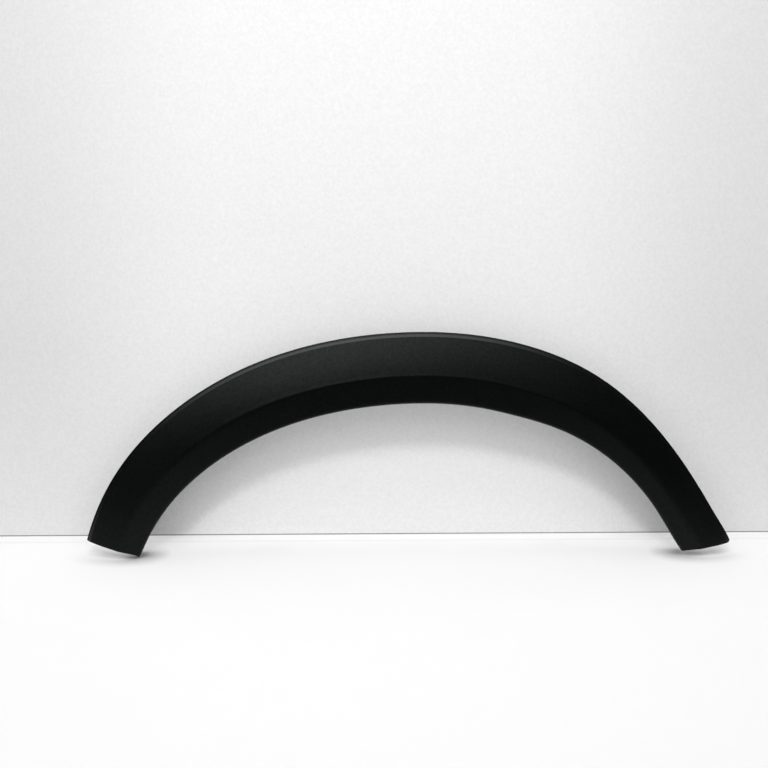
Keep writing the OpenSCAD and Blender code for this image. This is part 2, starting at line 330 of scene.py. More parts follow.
# A fillet at the corner b, between the lines from a and to c
def cornerArc(a, b, c, radius, steps):
    back, ahead = unit((a[0] - b[0], a[1] - b[1])), unit((c[0] - b[0], c[1] - b[1]))
    half = math.acos(max(-1, min(1, back[0] * ahead[0] + back[1] * ahead[1]))) / 2
    towards = unit((back[0] + ahead[0], back[1] + ahead[1]))
    middle = [b[k] + towards[k] * radius / math.sin(half) for k in (0, 1)]
    first = [b[k] + back[k] * radius / math.tan(half) - middle[k] for k in (0, 1)]
    last = [b[k] + ahead[k] * radius / math.tan(half) - middle[k] for k in (0, 1)]
    start = math.atan2(first[1], first[0])
    sweep = math.atan2(first[0] * last[1] - first[1] * last[0], first[0] * last[0] + first[1] * last[1])
    return [(middle[0] + radius * math.cos(start + sweep * i / steps),
             middle[1] + radius * math.sin(start + sweep * i / steps)) for i in range(steps + 1)]
# Corners are (point, radius, arc steps, steps of the run that follows, crown of that run)
def roundedLine(corners, closed):
    count = len(corners)
    arcs = []
    for i, (point, radius, steps, run, crown) in enumerate(corners):
        if radius:
            arcs.append(cornerArc(corners[i - 1][0], point, corners[(i + 1) % count][0], radius, steps))
        else:
            arcs.append([point])
    line = []
    for i, (point, radius, steps, run, crown) in enumerate(corners):
        line += arcs[i]
        if i + 1 < count or closed:
            a, b = arcs[i][-1], arcs[(i + 1) % count][0]
            side = unit((a[1] - b[1], b[0] - a[0]))
            for k in range(1, run):
                part = k / run
                out = crown * 4 * part * (1 - part)
                line.append(tuple(a[m] + (b[m] - a[m]) * part + side[m] * out for m in (0, 1)))
    return line


def wallLoop(width, depth, crestRadius):
    s = bandSection
    outer = sectionCorners(width, depth)
    inner = sunkCorners(outer, s["wall"])
    arc, small, rim = s["arcSteps"], s["smallSteps"], s["rimRound"]
    corners = [
        (outer[0], rim, small, 2, 0), (outer[1], s["edgeRound"], small, 3, 0),
        (outer[2], s["bevelRound"], small + 1, 12, s["faceCrown"]), (outer[3], crestRadius, arc, 8, 0),
        (outer[4], s["innerRadius"], arc, 6, 0), (outer[5], rim, small, 1, 0),
        (inner[5], rim, small, 5, 0), (inner[4], s["innerRadius"] - s["wall"], 5, 6, 0),
        (inner[3], crestRadius - s["wall"], 5, 8, -s["faceCrown"]), (inner[2], rim, 2, 2, 0),
        (inner[1], rim, 2, 1, 0), (inner[0], rim, small, 1, 0),
    ]
    return roundedLine(corners, True)


def newObject(name, data):
    obj = bpy.data.objects.new(name, data)
    bpy.context.scene.collection.objects.link(obj)
    return obj


# A line with the steps to its narrow, shallow and soft forms as attributes, for the trees to read
def sectionObject(name, shaper, closed):
    s = archOutline
    crisp, soft = bandSection["crestRadius"], bandSection["crestEndRadius"]
    full = shaper(s["crownWidth"], 1.0, crisp)
    forms = {"narrow": shaper(s["rearWidth"], 1.0, crisp), "soft": shaper(s["crownWidth"], 1.0, soft),
             "shallow": shaper(s["crownWidth"], s["endDepth"], crisp)}
    mesh = bpy.data.meshes.new(name)
    edges = [(i, i + 1) for i in range(len(full) - 1)] + ([(len(full) - 1, 0)] if closed else [])
    mesh.from_pydata([(x, y, 0) for x, y in full], edges, [])
    for form, line in forms.items():
        layer = mesh.attributes.new(form, "FLOAT_VECTOR", "POINT")
        for i, (a, b) in enumerate(zip(full, line)):
            layer.data[i].vector = (b[0] - a[0], b[1] - a[1], 0)
    layer = mesh.attributes.new("inward", "FLOAT_VECTOR", "POINT")
    for i in range(len(full)):
        a, b = full[i - 1], full[(i + 1) % len(full)]
        along = unit((b[0] - a[0], b[1] - a[1]))
        layer.data[i].vector = (along[1], -along[0], 0)
    return newObject(name, mesh)


def meshObject(name, points, faces=()):
    mesh = bpy.data.meshes.new(name)
    mesh.from_pydata(points, [], faces)
    return newObject(name, mesh)


def plainMesh(obj):
    bpy.context.view_layer.update()
    shown = obj.evaluated_get(bpy.context.evaluated_depsgraph_get())
    mesh = bpy.data.meshes.new_from_object(shown)
    obj.modifiers.clear()
    return mesh


def discard(*objects):
    for obj in objects:
        bpy.data.objects.remove(obj)


# Materials come first, because the trees end by setting them

def newMaterial(name):
    material = bpy.data.materials.new(name)
    material.use_nodes = True
    tree = material.node_tree
    tree.nodes.clear()
    return material, tree


grainMake = {"pebbleShare": 0.7, "fineShare": 0.3, "fineness": 1.6, "pits": (0.25, 0.6)}


# Fine moulded grain: a pebbled height with a soft larger swell, and a mask of its pits
def makeMouldGrain():
    s = grainMake
    tree = newTree("mouldGrain", [("Vector", "Vector", None), ("Grain Size", "Float", 0.0007),
                                  ("Swell Size", "Float", 0.03), ("Swell Share", "Float", 0.3)],
                   [("Height", "Float"), ("Pits", "Float")], "ShaderNodeTree")
    t = Tools(tree)
    given = t.node("NodeGroupInput")
    place, size = given["Vector"], given["Grain Size"]
    pebbles = t.node("ShaderNodeTexVoronoi", {"Vector": place, "Scale": 1.0 / size}, feature="SMOOTH_F1")
    fine = t.noise(place, s["fineness"] / size, 2.0)
    small = pebbles["Distance"] * s["pebbleShare"] + fine * s["fineShare"]
    swell = t.noise(place, 1.0 / given["Swell Size"], 1.0)
    t.node("NodeGroupOutput", {"Height": small + swell * given["Swell Share"],
                               "Pits": t.span(small, *s["pits"])})
    return tree


wearMake = {"edgeTurn": (0.995, 0.85), "edgeBreak": 220.0, "level": (0.2, 0.95), "patches": 35.0,
            "streak": (0.35, 1.0, 1.0), "scuffed": (0.52, 0.72)}


# Handling wear and dust: rubbed edges, a thin dust that settles on what faces up, and faint scuffs
def makeHandling():
    s = wearMake
    tree = newTree("handlingWear", [("Vector", "Vector", None), ("Edge Radius", "Float", 0.0012),
                                    ("Scuff Size", "Float", 0.02)],
                   [("Edges", "Float"), ("Dust", "Float"), ("Scuffs", "Float")], "ShaderNodeTree")
    t = Tools(tree)
    given = t.node("NodeGroupInput")
    place = given["Vector"]
    bevel = t.node("ShaderNodeBevel", {"Radius": given["Edge Radius"]}, samples=4)
    normal = t.node("ShaderNodeNewGeometry")["Normal"]
    rubbed = t.span(t.vector("DOT_PRODUCT", bevel[0], normal), *s["edgeTurn"])
    level = t.span(t.split(normal)["Z"], *s["level"])
    streaks = t.node("ShaderNodeMapping", {"Vector": place, "Scale": s["streak"]})
    scuff = t.noise(streaks[0], 1.0 / given["Scuff Size"], 6.0)
    t.node("NodeGroupOutput", {"Edges": rubbed * t.noise(place, s["edgeBreak"], 3.0),
                               "Dust": level * t.noise(place, s["patches"], 5.0),
                               "Scuffs": t.span(scuff, *s["scuffed"])})
    return tree


mouldGrain = makeMouldGrain()
handlingWear = makeHandling()

mouldingFinish = {
    "deep": (0.0009, 0.0012, 0.0011, 1), "lifted": (0.0016, 0.0019, 0.0018, 1), "flow": 14.0,
    "dust": (0.010, 0.0105, 0.010, 1), "dustShare": 0.12,
    "roughness": 0.37, "specular": 0.155, "glossTint": (0.93, 1.0, 0.965, 1), "index": 1.49,
    "grainSize": 0.0013, "grainDepth": 0.00012, "grainBump": 0.5, "mottleSize": 0.003, "mottle": 0.5,
    "pitsRough": 0.06, "edgesSmooth": 0.12, "scuffsRough": 0.05,
    "landStart": (0.0019, 0.0025), "landStop": (0.0049, 0.0054), "landFacing": (-0.2, -0.45),
    "landRoughness": 0.26, "landGloss": 0.17,
}


def makeMouldedBlack():
    s = mouldingFinish
    material, tree = newMaterial("mouldedBlackPlastic")
    t = Tools(tree)
    place = t.node("ShaderNodeTexCoord")["Object"]
    grain = t.group(mouldGrain, {"Vector": place, "Grain Size": s["grainSize"]})
    wear = t.group(handlingWear, {"Vector": place})
    tone = t.blend(t.noise(place, s["flow"], 4.0), s["deep"], s["lifted"])
    tone = t.blend(wear["Dust"] * s["dustShare"], tone, s["dust"])
    # The bevel is a smooth, glossier land between a dull lip and the grained face
    inset = t.node("ShaderNodeAttribute", attribute_name="edgeInset")["Fac"]
    outward = t.split(t.node("ShaderNodeNewGeometry")["Normal"])["Y"]
    land = t.span(inset, *s["landStart"]) * t.span(inset, *s["landStop"], 1.0, 0.0)
    land = land * t.span(outward, *s["landFacing"])
    spots = t.noise(place, 1 / s["mottleSize"], 2.0)
    uneven = 1.0 + (spots - 0.5) * (s["mottle"] * 2)
    rough = s["roughness"] + grain["Pits"] * s["pitsRough"]
    rough = rough - land * (s["roughness"] - s["landRoughness"])
    rough = rough - wear["Edges"] * s["edgesSmooth"] + wear["Scuffs"] * s["scuffsRough"]
    bump = t.node("ShaderNodeBump", {"Height": grain["Height"], "Strength": s["grainBump"],
                                     "Distance": s["grainDepth"]})
    shader = t.node("ShaderNodeBsdfPrincipled", {
        "Base Color": tone, "Roughness": rough, "Normal": bump[0], "IOR": s["index"],
        "Specular IOR Level": uneven * s["specular"] + land * s["landGloss"],
        "Specular Tint": s["glossTint"]})
    t.node("ShaderNodeOutputMaterial", {"Surface": shader[0]})
    return material


nylonFinish = {
    "pale": (0.80, 0.79, 0.72, 1), "yellowed": (0.70, 0.67, 0.56, 1), "cloud": 90.0,
    "roughness": 0.38, "scuffsRough": 0.12, "edgeRadius": 0.0005,
    "grainSize": 0.0011, "swellSize": 0.006, "grainBump": 0.35, "grainDepth": 0.00004,
    "milky": 0.25, "milkyReach": (0.0012, 0.001, 0.0007),
}


def makeNaturalNylon():
    s = nylonFinish
    material, tree = newMaterial("naturalNylon")
    t = Tools(tree)
    place = t.node("ShaderNodeTexCoord")["Object"]
    grain = t.group(mouldGrain, {"Vector": place, "Grain Size": s["grainSize"], "Swell Size": s["swellSize"]})
    wear = t.group(handlingWear, {"Vector": place, "Edge Radius": s["edgeRadius"]})
    bump = t.node("ShaderNodeBump", {"Height": grain["Height"], "Strength": s["grainBump"],
                                     "Distance": s["grainDepth"]})
    shader = t.node("ShaderNodeBsdfPrincipled", {
        "Base Color": t.blend(t.noise(place, s["cloud"], 3.0), s["pale"], s["yellowed"]),
        "Roughness": s["roughness"] + wear["Scuffs"] * s["scuffsRough"], "Normal": bump[0],
        "Subsurface Weight": s["milky"], "Subsurface Radius": s["milkyReach"]})
    t.node("ShaderNodeOutputMaterial", {"Surface": shader[0]})
    return material
mouldedBlack = makeMouldedBlack()
naturalNylon = makeNaturalNylon()
print("materials made")


# The band: a closed wall section swept along the arch

sweepValues = {words(key): value for key, value in bandSweep.items() if key != "stations"}


def makeSweepBand():
    tree = newTree("sweepBand",
                   [("Geometry", "Geometry", None), ("Section", "Object", None),
                    ("Material", "Material", None)] + numberInputs(sweepValues) + outlineInputs,
                   [("Geometry", "Geometry")])
    t = Tools(tree)
    given = t.node("NodeGroupInput")
    section = t.meshOf(given["Section"])
    ringCount, stationCount = (
        t.node("GeometryNodeAttributeDomainSize", {"Geometry": mesh}, component="MESH")["Point Count"]
        for mesh in (section, given["Geometry"]))
    tube = t.node("GeometryNodeMeshCylinder", {"Vertices": ringCount, "Side Segments": stationCount - 1.0,
                                               "Radius": 1.0, "Depth": 1.0}, fill_type="NGON")
    raw = t.split(t.position())
    # The tube's own place tells which section point and which station a vertex stands for
    turn = t.calc("ARCTAN2", raw["Y"], raw["X"]) / (2 * math.pi)
    index = t.calc("MODULO", t.calc("ROUND", turn * ringCount) + ringCount, ringCount)
    step = t.calc("ROUND", (raw["Z"] + 0.5) * (stationCount - 1.0))
    station = t.split(t.sample(given["Geometry"], t.position(), step))
    straight = given["Rear End"] + station["X"] * (given["Front End"] - given["Rear End"])
    point = t.group(sectionPoint, {"Section": section, "Index": index, "Angle": straight,
                                   "Shrink": station["Y"]}, given)
    inset = point["Inset"]

    # The two end cuts lean, and the rear outer corner is rounded
    rearCut = given["Rear End"] + given["Rear Lean"] * (inset / given["Rear Width"])
    frontCut = given["Front End"] - given["Front Lean"] * (inset / given["Front Width"])
    angle = rearCut + station["X"] * (frontCut - rearCut)
    corner = given["Rear Corner"]
    left = t.calc("MINIMUM", t.calc("MAXIMUM", corner - inset, 0.0), corner)
    cut = corner - t.calc("SQRT", t.calc("MAXIMUM", corner * corner - left * left, 0.0))
    cut = cut * t.calc("POWER", 1.0 - station["X"], given["Corner Fade"])
    shift = t.calc("DEGREES", (cut + station["Z"]) / given["Crown Radius"])
    placed = t.group(bandPoint, {"Angle": angle + shift, "Inset": inset, "Bow Inset": inset,
                                 "Rise": point["Rise"]}, given)
    noted = t.node("GeometryNodeStoreNamedAttribute",
                   {"Geometry": tube["Mesh"], "Name": "edgeInset", "Value": inset},
                   data_type="FLOAT", domain="POINT")
    t.dress(noted[0], placed[0], given["Material"])
    return tree


# Stations along the band, as (share of its length, shrink, step): both ends have a small round
def stationLine():
    count, rim = bandSweep["stations"], bandSection["rimRound"]
    turns = [math.radians(a) for a in (0, 30, 60, 90)]
    start = [(0.0, rim * (1 - math.sin(a)), rim * (1 - math.cos(a))) for a in turns]
    middle = [(i / count, 0.0, 0.0) for i in range(1, count)]
    return start + middle + [(1.0, shrink, -step) for share, shrink, step in reversed(start)]


def makeBand():
    section = sectionObject("wallSection", wallLoop, True)
    obj = meshObject("bandStations", stationLine())
    addTree(obj, makeSweepBand(), outlineValues | sweepValues | {"Section": section, "Material": mouldedBlack})
    mesh = plainMesh(obj)
    discard(obj, section)
    return mesh


bandMesh = makeBand()
print("band swept:", len(bandMesh.vertices), "points")

# Ribs: one blank, placed at every rib's angle and stretched between the wall and the fender

ribs = {"thickness": 0.0016, "gap": 0.0015, "pitch": 0.052, "backShare": 0.6, "backRound": 0.03}
clipShares = [-0.86, -0.6, -0.3, 0, 0.3, 0.6, 0.86]
tabShares = [-0.75, -0.4, 0, 0.4, 0.76]


def placeAngle(share):
    return 90 + share * (archOutline["frontEnd"] - 90 if share > 0 else 90 - archOutline["rearEnd"])


clipAngles = [placeAngle(share) for share in clipShares]
tabAngles = [placeAngle(share) for share in tabShares]


def angleMesh(name, angles):
    obj = meshObject(name, [(0, 0, 0)] * len(angles))
    layer = obj.data.attributes.new("placeAngle", "FLOAT", "POINT")
    for i, angle in enumerate(angles):
        layer.data[i].value = angle
    return obj


# A rib's foot where it meets the flange
def ribFoot(outer):
    lean = (ribs["gap"] + bandSection["flangeReach"]) * math.tan(math.radians(bandSection["flangeDraft"]))
    return (outer[5][0] - bandSection["wall"] / 2 + lean, ribs["gap"])


# A rib's top, in the middle of the wall
def ribLine(width, depth, crestRadius):
    s = bandSection
    outer = sectionCorners(width, depth)
    middle = sunkCorners(outer, s["wall"] / 2)
    corners = [(middle[2], 0, 1, 10, s["faceCrown"]), (middle[3], crestRadius - s["wall"] / 2, 4, 6, 0),
               (middle[4], s["innerRadius"] - s["wall"] / 2, 4, 1, 0), (ribFoot(outer), 0, 1, 1, 0)]
    return roundedLine(corners, False)[:-1]


# A rib's straight foot, with as many points as its top
def ribFeetLine(width, depth, crestRadius):
    line = ribLine(width, depth, crestRadius)
    first, (last, gap) = line[0][0], ribFoot(sectionCorners(width, depth))
    count = len(line) - 1
    return [(first + (last - first) * i / count, gap) for i in range(count + 1)]


# A bar of a rib's points, as (number along the line, side, height), with a rounded back
def ribBlank(rings):
    across = [(-0.5, 1), (0.5, 1), (ribs["backShare"] / 2, ribs["backRound"]), (ribs["backShare"] / 4, 0),
              (-ribs["backShare"] / 4, 0), (-ribs["backShare"] / 2, ribs["backRound"])]
    n = len(across)
    points = [(k, w, h) for k in range(rings) for w, h in across]
    faces = [[k * n + j, k * n + (j + 1) % n, (k + 1) * n + (j + 1) % n, (k + 1) * n + j]
             for k in range(rings - 1) for j in range(n)]
    faces += [list(range(n))[::-1], [(rings - 1) * n + j for j in range(n)]]
    return meshObject("ribBlank", points, faces)


def makeRibsOnBand():
    tree = newTree("ribsOnBand",
                   [("Geometry", "Geometry", None), ("Blank", "Object", None), ("Top Line", "Object", None),
                    ("Foot Line", "Object", None), ("Thickness", "Float", 0.0016),
                    ("Rear Lean", "Float", 3.1), ("Front Lean", "Float", 2.1),
                    ("Material", "Material", None)] + outlineInputs,
                   [("Geometry", "Geometry")])
    t = Tools(tree)
    given = t.node("NodeGroupInput")
    angle, raw = t.attribute("placeAngle"), t.split(t.position())
    # The end cuts lean, so that the band's inner edge carries the section of another angle
    shape = t.group(bandShape, {"Angle": angle}, given)
    share = (angle - given["Rear End"]) / (given["Front End"] - given["Rear End"])
    rearTurn = (1.0 - share) * (given["Rear Lean"] / given["Rear Width"])
    frontTurn = share * (given["Front Lean"] / given["Front Width"])
    drawn = angle + shape["Band Width"] * (frontTurn - rearTurn)
    index = t.calc("ROUND", raw["X"])
    foot, top = (t.group(sectionPoint, {"Section": t.meshOf(given[line]), "Index": index,
                                        "Angle": drawn}, given) for line in ("Foot Line", "Top Line"))
    inset, rise = (foot[name] + raw["Z"] * (top[name] - foot[name]) for name in ("Inset", "Rise"))
    placed = t.group(bandPoint, {"Angle": angle, "Inset": inset, "Bow Inset": inset, "Rise": rise,
                                 "Along": raw["Y"] * given["Thickness"]}, given)
    t.dress(t.scatter(given["Geometry"], given["Blank"]), placed[0], given["Material"])
    return tree
def makeRibs():
    half = math.degrees(ribs["pitch"] / 2 / archOutline["crownRadius"])
    angles = [a + way * half for a in clipAngles for way in (-1, 1)]
    angles += [(a + b) / 2 for a, b in zip(clipAngles, clipAngles[1:])]
    places = angleMesh("ribPlaces", angles)
    top = sectionObject("ribTops", ribLine, False)
    foot = sectionObject("ribFeet", ribFeetLine, False)
    blank = ribBlank(len(top.data.vertices))
    addTree(places, makeRibsOnBand(), outlineValues | {
        "Blank": blank, "Top Line": top, "Foot Line": foot, "Thickness": ribs["thickness"],
        "Rear Lean": bandSweep["rearLean"], "Front Lean": bandSweep["frontLean"], "Material": mouldedBlack})
    mesh = plainMesh(places)
    discard(places, top, foot, blank)
    return mesh


ribMesh = makeRibs()
print("ribs placed:", len(ribMesh.vertices), "points")


# Towers, tabs, tongues and clips: a blank drawn as (inset, rise, along) about its own anchor on the band

sectionValues = {words(key): bandSection[key]
                 for key in ("inner", "crest", "crestShare", "bevelWidth", "faceCrown")}
sectionValues["Bevel Top"] = bandSection["edgeHeight"] + bandSection["bevelRise"]
sectionValues["Sink"] = bandSection["wall"] / 2


def makePlaceOnBand():
    tree = newTree("placeOnBand",
                   [("Geometry", "Geometry", None), ("Blank", "Object", None), ("Material", "Material", None),
                    ("Width Share", "Float", 0.36), ("Lean", "Float", 0.0), ("Lean From", "Float", 0.0),
                    ("Shift", "Float", 0.0)] + numberInputs(sectionValues) + outlineInputs,
                   [("Geometry", "Geometry")])
    t = Tools(tree)
    given = t.node("NodeGroupInput")
    angle, reach, raw = t.attribute("placeAngle"), t.attribute("reachesWall"), t.split(t.position())
    shape = t.group(bandShape, {"Angle": angle}, given)
    width, depth = shape["Band Width"], shape["Depth"]
    leaned = given["Lean"] * (given["Inner"] * depth + given["Lean From"])
    anchor = width * given["Width Share"] - leaned + given["Shift"]
    inset = anchor + raw["X"]
    # A point marked as reaching the wall stops inside it, wherever the outer face is there
    run = width * given["Crest Share"] - given["Bevel Width"]
    part = (inset - given["Bevel Width"]) / run
    climb = (given["Crest"] * depth - given["Bevel Top"]) * part
    swell = given["Face Crown"] * 4.0 * (part * (1.0 - part))
    face = given["Bevel Top"] + (climb + swell) - given["Sink"]
    rise = reach * face + (1.0 - reach) * raw["Y"]
    point = t.group(bandPoint, {"Angle": angle, "Inset": inset, "Bow Inset": anchor, "Rise": rise,
                                "Along": raw["Z"]}, given)
    t.dress(t.scatter(given["Geometry"], given["Blank"]), point[0], given["Material"])
    return tree


placeOnBand = makePlaceOnBand()
flangeLean = math.tan(math.radians(bandSection["flangeDraft"]))
sharpTurn = 0.6  # radians between two faces from which a blank's edge is rounded
def placed(name, blank, angles, material, anchor):
    places = angleMesh(name, angles)
    own = {"Blank": blank, "Material": material} | anchor
    addTree(places, placeOnBand, outlineValues | sectionValues | own)
    mesh = plainMesh(places)
    discard(places, blank)
    return mesh


# A flat outline given in two of the axes, thickened along the third between low and high
def slab(outline, low, high, axes, topReach=False):
    points, n = [], len(outline)
    for level in (low, high):
        for a, b in outline:
            point = [0.0, 0.0, 0.0]
            point[axes[0]], point[axes[1]], point[axes[2]] = a, b, level
            points.append(tuple(point))
    faces = [list(range(n))[::-1], list(range(n, 2 * n))]
    faces += [[i, (i + 1) % n, n + (i + 1) % n, n + i] for i in range(n)]
    return points, faces, [0.0] * n + [1.0 if topReach else 0.0] * n


# Joins slabs into one blank, with small rounds on its sharp edges
def blankObject(name, slabs, rounding):
    work = bmesh.new()
    layer = work.verts.layers.float.new("reachesWall")
    for points, faces, marks in slabs:
        own = bmesh.new()
        ownLayer = own.verts.layers.float.new("reachesWall")
        made = [own.verts.new(p) for p in points]
        for vertex, mark in zip(made, marks):
            vertex[ownLayer] = mark
        for face in faces:
            own.faces.new([made[i] for i in face])
        bmesh.ops.recalc_face_normals(own, faces=own.faces)
        if rounding:
            sharp = [e for e in own.edges if e.calc_face_angle(0) > sharpTurn
                     and not (e.verts[0][ownLayer] > 0.5 and e.verts[1][ownLayer] > 0.5)]
            bmesh.ops.bevel(own, geom=sharp, offset=rounding, segments=2, profile=0.5, affect="EDGES",
                            clamp_overlap=True)
        mesh = bpy.data.meshes.new(name + "Part")
        own.to_mesh(mesh)
        own.free()
        work.from_mesh(mesh)
        bpy.data.meshes.remove(mesh)
    mesh = bpy.data.meshes.new(name)
    work.to_mesh(mesh)
    work.free()
    return newObject(name, mesh)


clipTower = {"length": 0.024, "width": 0.022, "wall": 0.0018, "plate": 0.002, "plateRise": 0.0026,
             "top": 0.02, "slotRadius": 0.00345, "slotSteps": 16, "mouth": 0.0012, "round": 0.00025,
             "widthShare": 0.36}


def towerBlank():
    s = clipTower
    w, l, t, r, m = s["width"] / 2, s["length"] / 2, s["wall"], s["slotRadius"], s["mouth"]
    walls = [(-w, -l), (w, -l), (w, -l + t), (-w + t, -l + t), (-w + t, l - t), (w, l - t), (w, l), (-w, l)]
    turns = [math.radians(270 - 180 * i / s["slotSteps"]) for i in range(s["slotSteps"] + 1)]
    slot = [(w - 2 * m, -r)] + [(r * math.cos(a), r * math.sin(a)) for a in turns] + [(w - 2 * m, r)]
    plate = [(-w, -l), (w, -l), (w, -r - m)] + slot + [(w, r + m), (w, l), (-w, l)]
    return blankObject("towerBlank", [
        slab(walls, s["plateRise"] + s["plate"] / 2, s["top"], (0, 2, 1), True),
        slab(plate, s["plateRise"], s["plateRise"] + s["plate"], (0, 2, 1)),
    ], s["round"])


towerMesh = placed("towerPlaces", towerBlank(), clipAngles, mouldedBlack,
                   {"Width Share": clipTower["widthShare"]})
screwTab = {"width": 0.02, "reach": 0.009, "thickness": 0.003, "holeRadius": 0.00275, "holeSides": 48,
            "round": 0.0004}


def tabBlank():
    s = screwTab
    half, top = s["width"] / 2, s["reach"] + bandSection["wall"]
    centre = -bandSection["flangeReach"] - s["reach"]
    corner = math.degrees(math.atan2(half, top))
    angles = sorted(set([i * 360 / s["holeSides"] for i in range(s["holeSides"])] + [corner, 360 - corner]))
    outer, hole = [], []
    for a in angles:
        c, k = math.cos(math.radians(a)), math.sin(math.radians(a))
        # The tab is square towards the flange and round away from it
        reach = min(top / max(c, 1e-6), half / max(abs(k), 1e-6)) if c > 0 else half
        outer.append((centre + reach * c, reach * k))
        hole.append((centre + s["holeRadius"] * c, s["holeRadius"] * k))
    n = len(angles)
    points = [(-x, a, b) for x in (0.0, s["thickness"]) for line in (outer, hole) for a, b in line]
    faces = []
    for i in range(n):
        j = (i + 1) % n
        faces += [[i, j, n + j, n + i], [2 * n + i, 3 * n + i, 3 * n + j, 2 * n + j],
                  [i, 2 * n + i, 2 * n + j, j], [n + i, n + j, 3 * n + j, 3 * n + i]]
    return blankObject("tabBlank", [(points, faces, [0.0] * len(points))], s["round"])


tabMesh = placed("tabPlaces", tabBlank(), tabAngles, mouldedBlack,
                 {"Width Share": 1.0, "Lean": flangeLean, "Lean From": bandSection["flangeReach"]})

endTongue = {"frontWidth": 0.018, "rearWidth": 0.008, "length": 0.003, "thickness": 0.0025, "rise": 0.008,
             "corner": 0.0012, "round": 0.0003}


def tongueBlank(width, way):
    s = endTongue
    tip, root, c = s["length"] * way, -2 * s["length"] * way, s["corner"]
    outline = [(-width, root), (-width, tip - c * way), (-width + c, tip), (-c, tip), (0, tip - c * way),
               (0, root)]
    part = slab(outline, s["rise"], s["rise"] + s["thickness"], (0, 2, 1))
    return blankObject("tongueBlank", [part], s["round"])


def makeTongue(width, angle, way):
    return placed("tonguePlace", tongueBlank(width, way), [angle], mouldedBlack,
                  {"Width Share": 1.0, "Lean": flangeLean, "Lean From": -endTongue["rise"],
                   "Shift": -bandSection["wall"] / 2})


rearTongue = makeTongue(endTongue["rearWidth"], archOutline["rearEnd"] + bandSweep["rearLean"], -1)
frontTongue = makeTongue(endTongue["frontWidth"], archOutline["frontEnd"] - bandSweep["frontLean"], 1)
print("towers, tabs and tongues placed")


# One object from several meshes: smooth faces, with sharp edges where they turn by more than a limit
def joinedObject(name, meshes, material, limit):
    work = bmesh.new()
    for mesh in meshes:
        work.from_mesh(mesh)
        bpy.data.meshes.remove(mesh)
    bmesh.ops.triangulate(work, faces=[f for f in work.faces if len(f.verts) > 4])
    for face in work.faces:
        face.smooth = True
        face.material_index = 0
    for edge in work.edges:
        edge.smooth = edge.calc_face_angle(0) < math.radians(limit)
    mesh = bpy.data.meshes.new(name)
    work.to_mesh(mesh)
    work.free()
    for layer in [a.name for a in mesh.attributes if a.name in ("placeAngle", "reachesWall")]:
        mesh.attributes.remove(mesh.attributes[layer])
    mesh.materials.clear()
    mesh.materials.append(material)
    return newObject(name, mesh)


mouldedParts = [bandMesh, ribMesh, towerMesh, tabMesh, rearTongue, frontTongue]
moulding = joinedObject("archTrimMoulding", mouldedParts, mouldedBlack, 33)
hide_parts("arch_moulding")
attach(moulding, "root")
print("moulding joined:", len(moulding.data.polygons), "faces")

# Clips: a turned blank with grooves down its shank

pushClip = {
    "segments": 40, "headRadius": 0.0075, "headThickness": 0.0016, "neckRadius": 0.0032,
    "washerRadius": 0.009, "washerThickness": 0.0012, "shankRadius": 0.004, "shankLength": 0.009,
    "noseLength": 0.008, "barbs": 3, "barbHeight": 0.0007, "gap": 0.00025,
    "grooveDepth": 0.0007, "grooveWidth": 14.0, "leastShare": 0.55,
}


# Half the clip's outline as (radius, rise), with small rounds typed beside its corners
def clipProfile():
    s = pushClip
    base = clipTower["plateRise"] - s["gap"] - s["washerThickness"]
    seat, low = base + s["washerThickness"], base - s["shankLength"]
    head = clipTower["plateRise"] + clipTower["plate"] + s["gap"]
    top = head + s["headThickness"]
    wide, neck, disc, shank = s["headRadius"], s["neckRadius"], s["washerRadius"], s["shankRadius"]
    line = [(0, top - 0.0004), (0.0022, top - 0.0004), (0.0028, top), (wide - 0.0005, top),
            (wide - 0.00012, top - 0.0002), (wide, top - 0.0006), (wide, head + 0.0003),
            (wide - 0.0003, head), (neck + 0.0004, head), (neck, head - 0.0003),
            (neck, seat + 0.0004), (neck + 0.0005, seat),
            (disc - 0.0012, seat - 0.00025), (disc - 0.0002, base + 0.0005), (disc, base + 0.0002),
            (disc - 0.0003, base), (disc - 0.0014, base + 0.0003), (shank + 0.0007, base + 0.0005),
            (shank, base + 0.0001), (shank, base - 0.003), (shank, base - 0.006), (shank, low + 0.0003)]
    step, barb = s["noseLength"] / (s["barbs"] + 1), s["barbHeight"]
    for i in range(s["barbs"]):
        r, y = shank - i * barb, low - step * i
        line += [(r, y), (r - barb * 1.35, y - 0.0002), (r - barb * 1.5, y - step * 0.45)]
    r, tip = shank - s["barbs"] * barb, low - s["noseLength"]
    line += [(r, low - step * s["barbs"]), (r * 0.9, tip + 0.0006), (r * 0.6, tip + 0.0001), (0, tip)]
    return line, base
def clipBlank():
    s = pushClip
    line, base = clipProfile()
    n = s["segments"]
    points, rings = [], []
    for radius, rise in line:
        if radius == 0:
            rings.append([len(points)])
            points.append((0, rise, 0))
            continue
        ring = []
        for i in range(n):
            turn = 360 * i / n
            off = abs((turn + 45) % 90 - 45)
            grooved = rise < base - 0.0005
            depth = s["grooveDepth"] * math.exp(-(off / s["grooveWidth"]) ** 2) if grooved else 0
            r = max(radius - depth, radius * s["leastShare"])
            ring.append(len(points))
            points.append((r * math.cos(math.radians(turn)), rise, r * math.sin(math.radians(turn))))
        rings.append(ring)
    faces = []
    for a, b in zip(rings, rings[1:]):
        for i in range(n):
            j = (i + 1) % n
            if len(a) == 1:
                faces.append([a[0], b[j], b[i]])
            elif len(b) == 1:
                faces.append([a[i], a[j], b[0]])
            else:
                faces.append([a[i], a[j], b[j], b[i]])
    return blankObject("clipBlank", [(points, faces, [0.0] * len(points))], 0)


